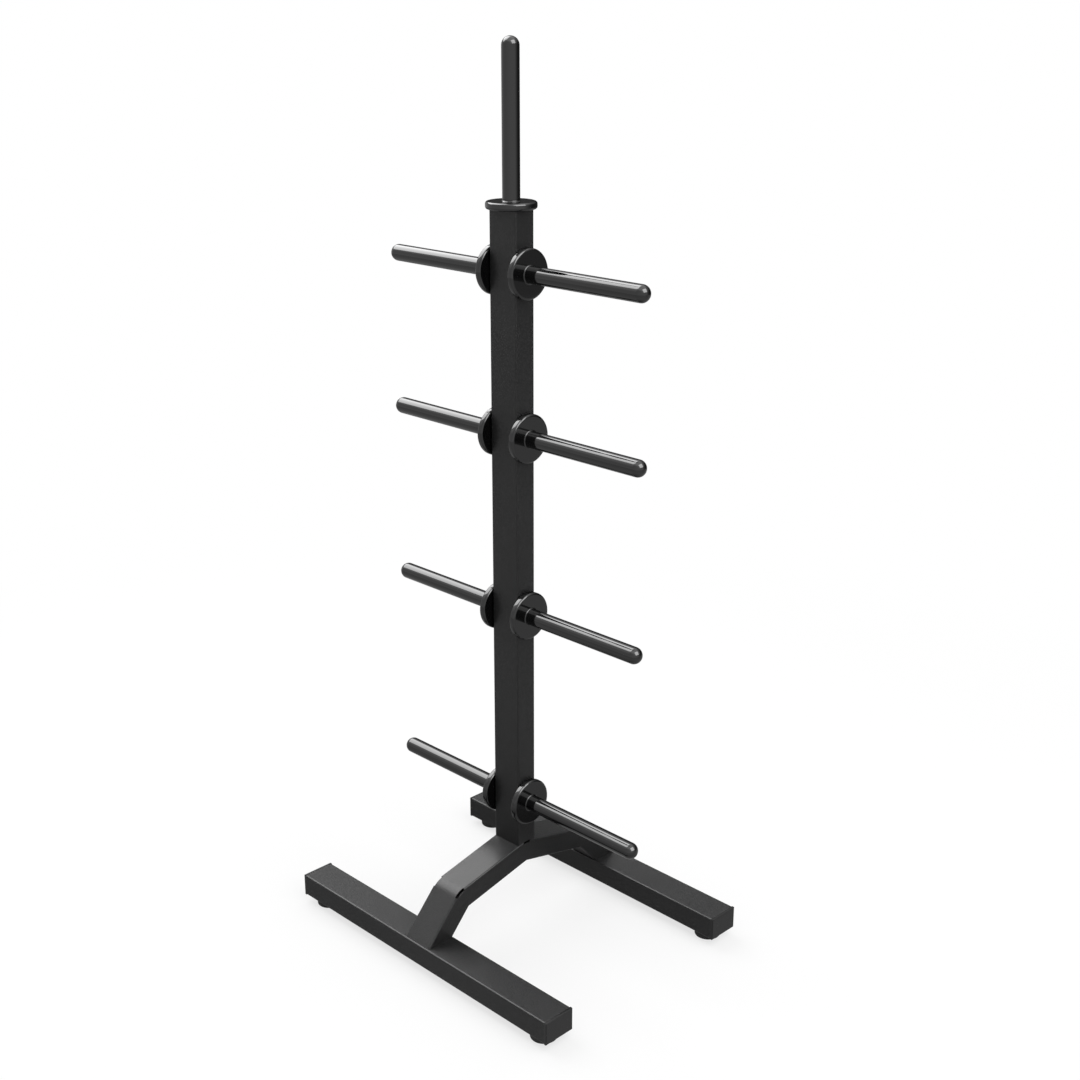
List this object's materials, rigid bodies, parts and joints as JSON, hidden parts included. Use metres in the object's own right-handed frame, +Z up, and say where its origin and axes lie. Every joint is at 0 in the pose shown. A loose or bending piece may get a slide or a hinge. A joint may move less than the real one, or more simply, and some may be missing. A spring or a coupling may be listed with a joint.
{
  "type": "plate tree",
  "caption": "Free-standing plate tree: a tube upright on a folded bridge between two capped feet, with round horns on both sides and one on top, each on a round collar.",
  "frame": {"origin": "on the floor, under the axis of the upright and midway between the feet", "axes": "+X along the side horns and the feet, +Y from the front foot to the rear foot, +Z up along the upright"},
  "size_m": [0.625, 0.472, 1.52],
  "materials": {
    "powder_coat": "matt black powder coat with a fine grain",
    "gloss_black": "smooth gloss black",
    "cap_plastic": "satin moulded black",
    "rubber": "matt black rubber",
    "zinc": "bright zinc plate"
  },
  "bodies": {
    "root": {"bridge_tube": "powder_coat", "collar_left_1": "gloss_black", "collar_left_2": "gloss_black", "collar_left_3": "gloss_black", "collar_left_4": "gloss_black", "collar_right_1": "gloss_black", "collar_right_2": "gloss_black", "collar_right_3": "gloss_black", "collar_right_4": "gloss_black", "collar_top": "gloss_black", "front_foot_tube": "powder_coat", "front_left_cap": "cap_plastic", "front_left_pad": "rubber", "front_right_cap": "cap_plastic", "front_right_pad": "rubber", "horn_left_1": "gloss_black", "horn_left_2": "gloss_black", "horn_left_3": "gloss_black", "horn_left_4": "gloss_black", "horn_right_1": "gloss_black", "horn_right_2": "gloss_black", "horn_right_3": "gloss_black", "horn_right_4": "gloss_black", "horn_top": "gloss_black", "pad_nuts": "zinc", "pad_screws": "zinc", "rear_foot_tube": "powder_coat", "rear_left_cap": "cap_plastic", "rear_left_pad": "rubber", "rear_right_cap": "cap_plastic", "rear_right_pad": "rubber", "stud_1": "zinc", "stud_2": "zinc", "stud_3": "zinc", "stud_4": "zinc", "stud_top": "zinc", "top_nut": "zinc", "top_plate": "powder_coat", "upright_tube": "powder_coat"}
  },
  "joints": []
}
